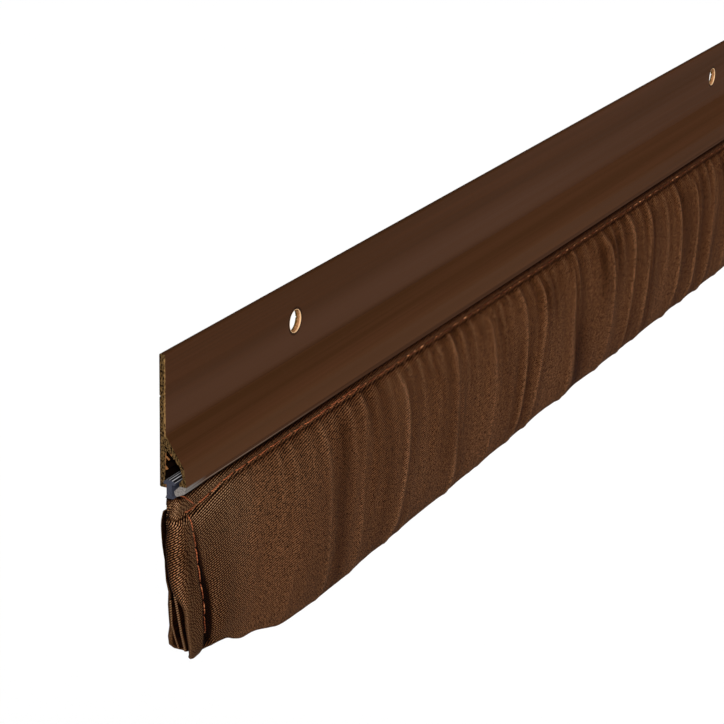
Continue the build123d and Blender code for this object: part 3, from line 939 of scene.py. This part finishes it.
def cloth_coordinates(points):
    """The length along the sleeve, and the length down from the front hem, at each point."""
    step = np.linalg.norm(np.diff(points, axis=1), axis=2)
    around = np.concatenate([np.zeros((len(points), 1)), np.cumsum(step, axis=1)], axis=1)
    # at the ends the length down is that of the flat section a little way in
    ends = [(i, SETTLED) for i in range(SETTLED)]
    ends += [(-1 - i, -1 - SETTLED) for i in range(SETTLED)]
    for index, source in ends:
        for side, order in ((FRONT_ROWS & ~ROLLED_ROWS, 1), (~FRONT_ROWS & ~ROLLED_ROWS, -1)):
            known_drop = points[source, side, 2][::order]
            known = around[source, side][::order]
            drop = points[index, side, 2]
            beyond = np.maximum(drop - known_drop.max(), 0.0) * order
            around[index, side] = np.interp(drop, np.maximum.accumulate(known_drop), known) + beyond
        around[index, ROLLED_ROWS] = around[source, ROLLED_ROWS]
    along_step = np.linalg.norm(np.diff(points[:, ROWS // 4], axis=0), axis=1)
    length = np.concatenate([[0.0], np.cumsum(along_step)])
    # the turned-in ends are pulled a little askew, so their ribs climb faster
    for past, shear in (
        (length[STRIP] - length, -END_SHEAR), (length - length[-1 - STRIP], END_SHEAR),
    ):
        past = np.maximum(past, 0.0)
        around += shear * (past**2 / (past + SHEAR_EASE))[:, None]
    return np.stack([np.repeat(length[:, None], ROWS, 1), around, np.zeros_like(around)], 2)


def sleeve_surface():
    """The cloth as a grid of points (x, depth, drop), its cloth coordinates, and its painted shade."""
    stations = sleeve_stations()
    depths, drops, seams, bottom = sleeve_sections(stations)
    x = np.repeat(stations[:, None], ROWS, 1)
    from_end = SLEEVE_HALF - np.abs(x)
    inset, radius = end_fold(drops)
    distance = drawn_in(from_end, HALF - inset - radius)
    x = np.sign(x) * distance
    out_depth, out_drop = outward(depths, drops)
    below = drops - seams
    share = below / (bottom[:, None] - seams)
    push, painted_shade = gathers(x, drops, below, share, from_end)
    seam_push, seam_painted_shade = end_seam_relief(distance, drops, below, share)
    push = push + seam_push
    painted_shade = painted_shade + seam_painted_shade + shelter(drops, below, from_end)
    body = np.stack([x, depths + out_depth * push, drops + out_drop * push], 2)

    # each row folds in at the ends, straight across where the hem is and else along its normal
    turn = smooth_share(below, 1.0, 5.0)
    into_depth = -(out_depth * turn + np.where(FRONT_ROWS, 1.0, -1.0) * (1 - turn))
    into_drop = -out_drop * turn
    size = np.hypot(into_depth, into_drop) + 1e-9
    inward = np.stack([np.zeros_like(size), into_depth / size, into_drop / size], 2)
    head, head_painted_shade = turned_in(body[0], inward[0], radius[0], painted_shade[0], -1.0)
    tail, tail_painted_shade = turned_in(body[-1], inward[-1], radius[-1], painted_shade[-1], 1.0)
    points = np.concatenate([head[::-1], body, tail])
    painted_shade = np.concatenate([head_painted_shade[::-1], painted_shade, tail_painted_shade])
    return points, cloth_coordinates(points), painted_shade


def hem_end(material):
    """The tucked cloth that closes the hem over the end of the keder's flange, at both ends."""
    points, cloth, painted_shades, faces = [], [], [], []
    for sign in (-1.0, 1.0):
        first = len(points)
        for inset, scale in TUCK_SECTIONS:
            x = HALF - inset
            for angle in np.linspace(0, 2 * np.pi, TUCK_POINTS + 1)[:-1]:
                c, s = math.cos(angle), math.sin(angle)
                round_x = math.copysign(abs(c) ** 0.7, c)
                round_y = math.copysign(abs(s) ** 0.7, s)
                size = scale * (1 + 0.05 * math.sin(5 * angle + 2.0 * x))
                depth = TUCK_DEPTH + TUCK_HALF_DEPTH * size * round_x
                drop = TUCK_DROP + TUCK_HALF_DROP * size * round_y
                points.append((sign * x, depth, drop))
                cloth.append((depth + 0.4 * x, drop, 0.0))
                # painted shade, deeper on the tuck's lower half
                painted_shades.append(0.3 + 0.25 * max(round_y, 0.0))
        faces += tube_faces(len(TUCK_SECTIONS), TUCK_POINTS, first, flip=sign < 0)
    return mesh_object("hem_end_tuck", points, faces, material, cloth, painted_shades)


def folded_edge(name, crest, radius, material):
    """A turned-in edge of cloth along a crest of (inset, depth, drop), at both ends."""
    points, cloth, painted_shades, faces = [], [], [], []
    places = np.linspace(0, 1, EDGE_POINTS)
    known = np.linspace(0, 1, len(crest))
    path = np.stack([np.interp(places, known, values) for values in np.array(crest).T], 1)
    arc = np.radians(np.linspace(-90, 90, EDGE_ARC_POINTS))
    middle = len(arc) // 2 + 2
    for sign in (-1.0, 1.0):
        first = len(points)
        for inset, depth, drop in path:
            centre = HALF - inset - radius
            line = [(centre - EDGE_REACH * share, depth - radius) for share in (1.0, 0.5)]
            line += [(centre + radius * math.cos(a), depth + radius * math.sin(a)) for a in arc]
            line += [(centre - EDGE_REACH * share, depth + radius) for share in (0.5, 1.0)]
            for j, (x, line_depth) in enumerate(line):
                away = abs(j - middle)
                points.append((sign * x, line_depth, drop))
                cloth.append((0.5 * j, drop, 0.0))
                # painted shade: little at the fold's tip, deep toward the layers inside
                painted_shades.append(0.1 if away < 2 else 0.5 if away == 2 else INSIDE_SHADE)
        faces += grid_faces(len(path), len(line), first, flip=sign < 0)
    return mesh_object(name, points, faces, material, cloth, painted_shades)


# Stitching: a side is 1 for the front of the sleeve and -1 for its back

def thread_tube(points, faces, line, radius):
    """Adds a closed tube along line, a list of (x, depth, drop), to points and faces."""
    line = np.array(line)
    first = len(points)
    ahead = np.gradient(line, axis=0)
    ahead /= np.linalg.norm(ahead, axis=1)[:, None]
    across = np.cross(ahead, NO_STITCH_WAY)
    across /= np.linalg.norm(across, axis=1)[:, None]
    up = np.cross(across, ahead)
    for i, centre in enumerate(line):
        taper = THREAD_TAPER if i in (0, len(line) - 1) else 1.0
        for k in range(THREAD_SIDES):
            angle = 2 * math.pi * k / THREAD_SIDES
            offset = across[i] * math.cos(angle) + up[i] * math.sin(angle)
            points.append(tuple(centre + radius * taper * offset))
    faces += tube_faces(len(line), THREAD_SIDES, first)
    faces.append(tuple(range(first, first + THREAD_SIDES))[::-1])


def stitch_line(points, faces, route, pitch, proud, jitter, radius):
    """Adds stitches along route, a dense line of surface points, lifted by proud in depth."""
    step = np.linalg.norm(np.diff(route, axis=0), axis=1)
    reach = np.concatenate([[0.0], np.cumsum(step)])
    start = 0.3
    while start + pitch < reach[-1]:
        size = pitch * dice.uniform(0.86, 1.12)
        places = np.linspace(start, start + size * STITCH_SHARE, len(STITCH_LIFT))
        line = np.stack([np.interp(places, reach, values) for values in route.T], 1)
        line[:, 1] += proud * STITCH_LIFT
        line[:, 2] += np.linspace(jitter, -jitter, len(STITCH_LIFT)) * dice.uniform(0.4, 1.2)
        thread_tube(points, faces, line, radius)
        start += size


def overlap_route(surface, row, side):
    """The short stretch where the hem's stitching overlaps itself, drifting up from the first row."""
    place = surface[:, row, 0]
    columns = np.flatnonzero((place > OVERLAP[0]) & (place < OVERLAP[1]))
    drift = smooth_share(np.linspace(0, 1, len(columns)), 0.0, 0.7)[:, None]
    return surface[columns, row] * (1 - drift) + surface[columns, row - 2 * side] * drift


def end_seam_route(surface, end, side):
    """Points of the sleeve's surface down the end seam of one end and one side."""
    quarter = len(surface) // 4
    columns = slice(0, quarter) if end < 0 else slice(3 * len(surface) // 4, len(surface))
    rows = slice(0, ROWS // 2) if side > 0 else slice(ROWS // 2, ROWS)
    near = surface[columns, rows].reshape(-1, 3)
    near = near[side * (near[:, 1] - STEM_MIDDLE) > 0.4]
    route = []
    for drop in np.arange(*END_STITCHES, 0.8):
        x = end * (HALF - float(along(END_SEAM, drop)))
        away = (near[:, 0] - x) ** 2 + (near[:, 2] - drop) ** 2
        close = near[np.argsort(away)[:6]]
        route.append((x, side * (side * close[:, 1]).max(), drop))
    return np.array(route)


def stitching(surface, material):
    """The hem's stitches with their overlap, the stitches down both ends, and a loose tail."""
    sides = ((1, STITCH_ROW), (-1, ROWS - 1 - STITCH_ROW))
    points, faces = [], []
    for side, row in sides:
        route = surface[HEAD + 3:-HEAD - 3, row]
        stitch_line(points, faces, route, STITCH_PITCH, side * HEM_PROUD, 0.12, THREAD_RADIUS)
    for side, row in sides:
        route = overlap_route(surface, row, side)
        stitch_line(points, faces, route, STITCH_PITCH, side * HEM_PROUD, 0.1, THREAD_RADIUS)
    hem = mesh_object("hem_topstitching", points, faces, material)
    points, faces = [], []
    for end in (-1, 1):
        for side in (1, -1):
            route = end_seam_route(surface, end, side)
            stitch_line(
                points, faces, route, END_STITCH_PITCH, side * END_PROUD, 0.0, END_THREAD_RADIUS
            )
    ends = mesh_object("end_topstitching", points, faces, material)
    points, faces = [], []
    tail = [(inset - HALF, depth, drop) for inset, depth, drop in THREAD_TAIL]
    thread_tube(points, faces, tail, THREAD_RADIUS * 1.1)
    return hem, ends, mesh_object("thread_tail", points, faces, material)


# The making

make_camera()
make_lights()
bpy.context.scene.view_settings.view_transform = "Standard"

twill = twill_material()
for node, material in (
    ("carrier_profile", carrier_material()),
    ("soft_lip", lip_material()),
    ("keder_strip", keder_material()),
    ("fabric_sleeve", twill),
):
    mesh = frame["nodes"][node].data
    mesh.materials.clear()
    mesh.materials.append(material)

surface, cloth, painted_shade = sleeve_surface()
sleeve = mesh_object("twill_sleeve", surface, grid_faces(len(surface), ROWS), twill, cloth, painted_shade)
inner_folds = [
    folded_edge("inner_fold_front", FRONT_EDGE, FRONT_EDGE_RADIUS, twill),
    folded_edge("inner_fold_back", BACK_EDGE, BACK_EDGE_RADIUS, twill),
]
tuck = hem_end(twill)
threads = stitching(surface, thread_material())

for piece in (sleeve, *inner_folds, tuck, *threads):
    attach(piece, "seal")
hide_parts("fabric_sleeve")

floor = bpy.data.meshes.new("floor")
floor.from_pydata(
    [(x * FLOOR_HALF, y * FLOOR_HALF, FLOOR_Z) for x, y in ((-1, -1), (1, -1), (1, 1), (-1, 1))],
    [], [(0, 1, 2, 3)],
)
floor.materials.append(floor_material())
floor = bpy.data.objects.new("floor", floor)
bpy.context.scene.collection.objects.link(floor)
